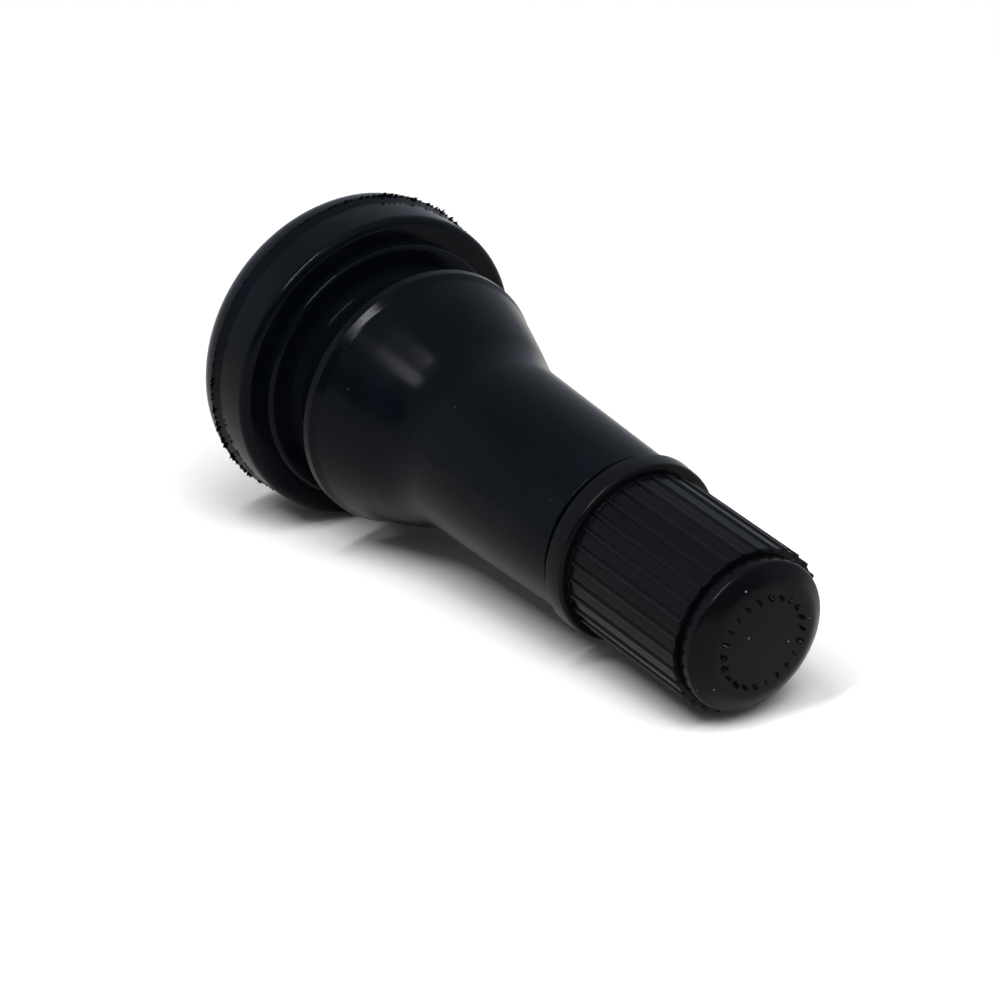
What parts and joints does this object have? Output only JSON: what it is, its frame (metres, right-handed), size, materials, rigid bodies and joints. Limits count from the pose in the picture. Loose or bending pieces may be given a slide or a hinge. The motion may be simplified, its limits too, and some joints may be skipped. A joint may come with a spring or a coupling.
{
  "type": "tyre valve",
  "caption": "Snap-in tubeless tyre valve: rubber body with rim groove and bulb on a brass stem, ribbed screw cap, sprung core.",
  "frame": {"origin": "centre of the flat underside of the rubber head", "axes": "+Z along the stem, from the head to the cap; X and Y are free because the valve is round"},
  "size_m": [0.0194, 0.0192, 0.0409],
  "materials": {
    "body_rubber": "moulded black rubber, semi-gloss",
    "stem_brass": "turned brass, satin",
    "cap_plastic": "moulded black polypropylene, satin",
    "seal_rubber": "punched black rubber, matte",
    "core_brass": "turned brass, satin",
    "seat_ring": "turned red fluoropolymer, matte",
    "spring_steel": "drawn stainless wire"
  },
  "bodies": {
    "valve": {"rubber_body": "body_rubber", "brass_stem": "stem_brass", "core_plug": "core_brass", "core_barrel": "core_brass", "barrel_seal": "seat_ring", "plunger_spring": "spring_steel"},
    "washer": {"cap_seal": "seal_rubber"},
    "cap": {"dust_cap": "cap_plastic"},
    "plunger": {"plunger_pin": "core_brass", "spring_collar": "core_brass", "seal_cup": "core_brass", "cup_seal": "seal_rubber"}
  },
  "joints": [
    {"name": "cap_rise", "type": "slide", "parent": "valve", "child": "washer", "axis": [0, 0, 1], "range_m": [0, 0.0095]},
    {"name": "cap_turn", "type": "hinge", "parent": "washer", "child": "cap", "pos_m": [0, 0, 0.02955], "axis": [0, 0, 1], "range_deg": [0, 4320]},
    {"name": "plunger_press", "type": "slide", "parent": "valve", "child": "plunger", "axis": [0, 0, -1], "range_m": [0, 0.0015], "stiffness_N_per_m": 1200, "springref_m": -0.001, "deforming": ["plunger_spring"]}
  ],
  "couplings": [
    {"joint": "cap_turn", "follows": "cap_rise", "rad_per_m": 7915.8}
  ]
}
